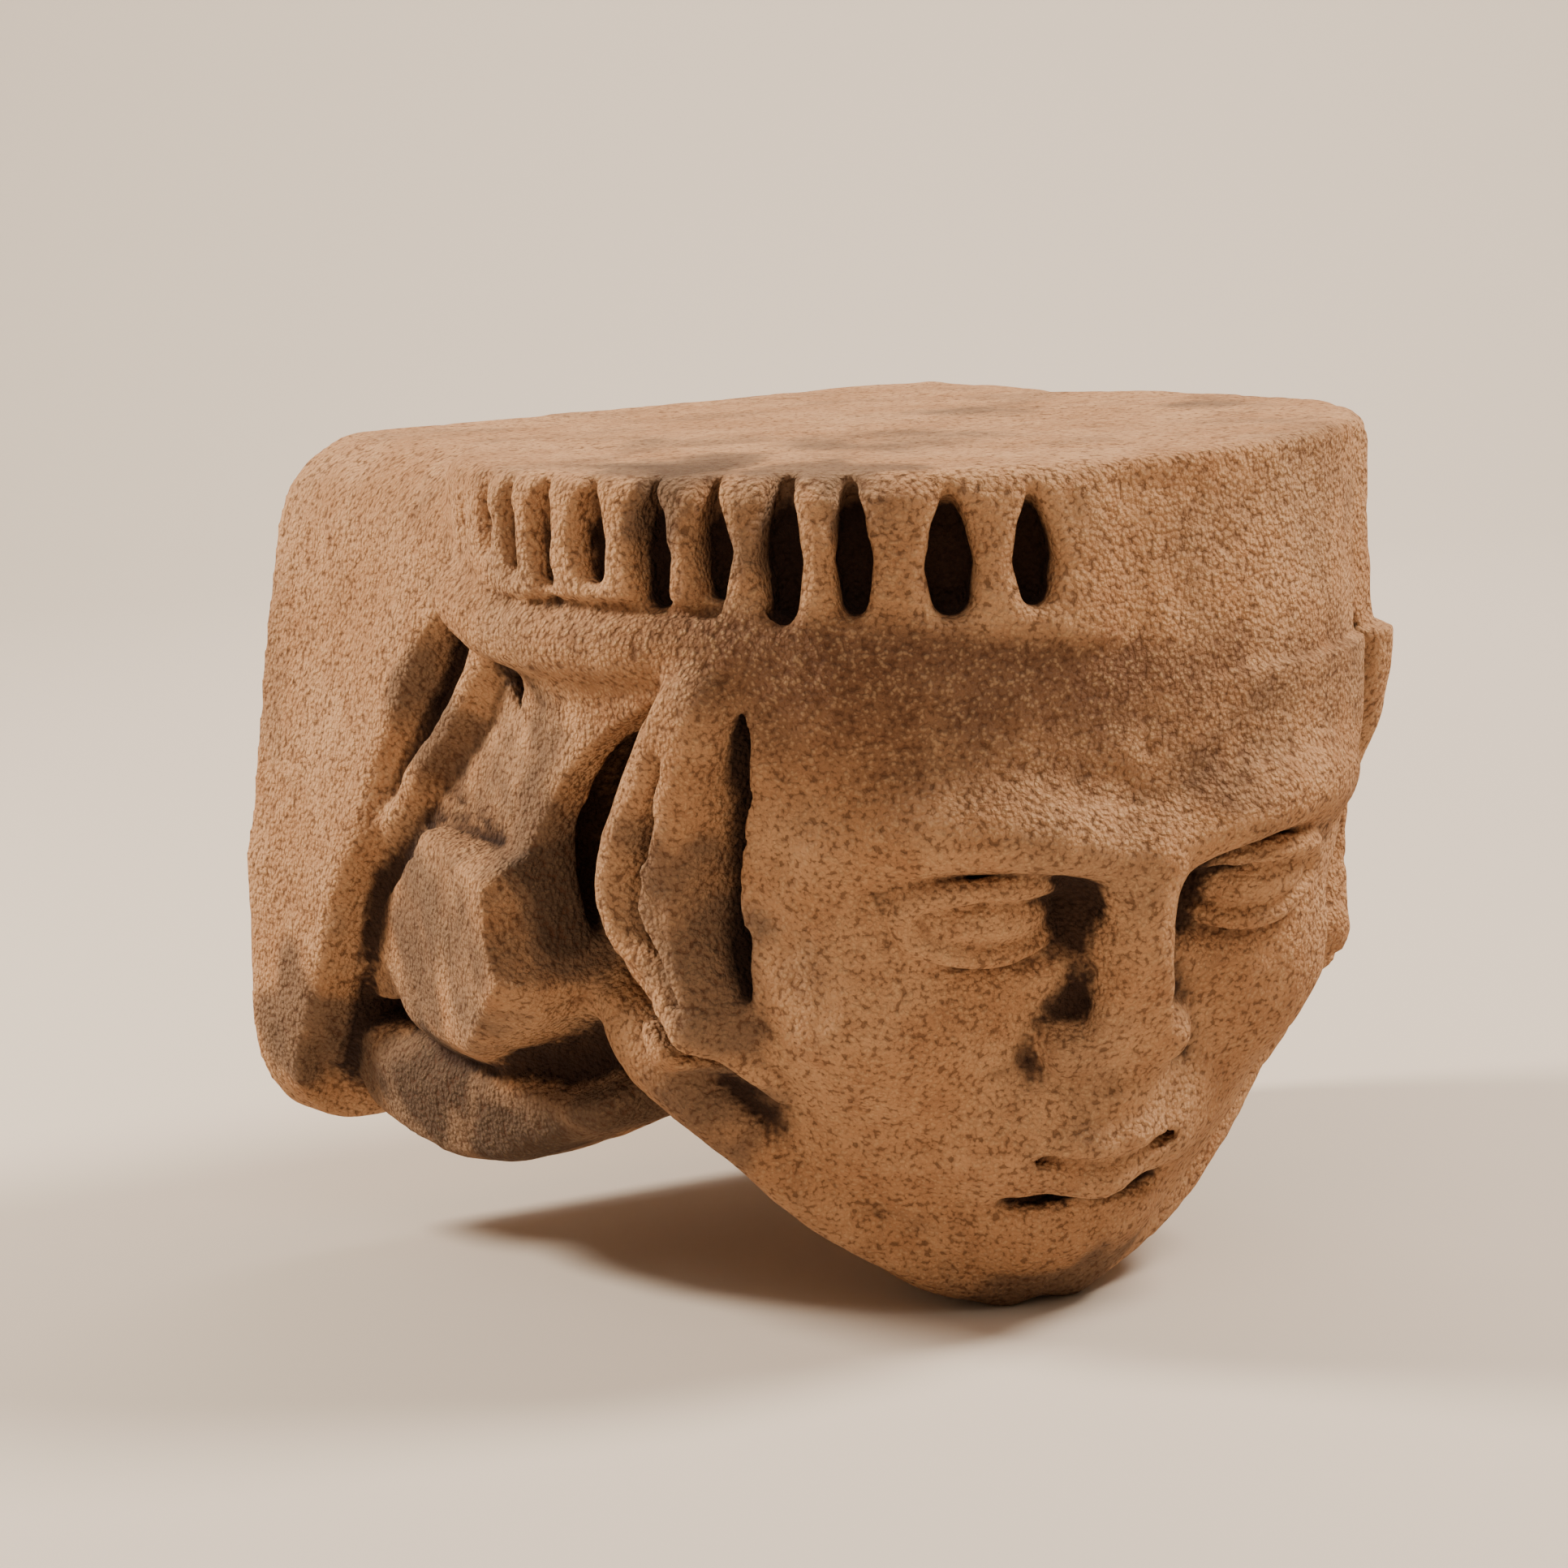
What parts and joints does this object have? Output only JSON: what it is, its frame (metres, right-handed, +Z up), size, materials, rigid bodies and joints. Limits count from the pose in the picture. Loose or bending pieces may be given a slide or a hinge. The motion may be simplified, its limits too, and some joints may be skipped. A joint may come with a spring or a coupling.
{
  "type": "stone corbel",
  "caption": "Weathered sandstone corbel: a wall block carved at its end as a head in a fluted round cap with a chin band.",
  "frame": {"origin": "middle of the flat wall face, where the tail of the corbel meets the wall", "axes": "+Y into the wall, +Z up towards the flat top bed, the head looks along -Y"},
  "size_m": [0.2524, 0.25, 0.2097],
  "materials": {
    "sandstone": "rough"
  },
  "bodies": {
    "root": {"corbel": "sandstone"}
  },
  "joints": []
}
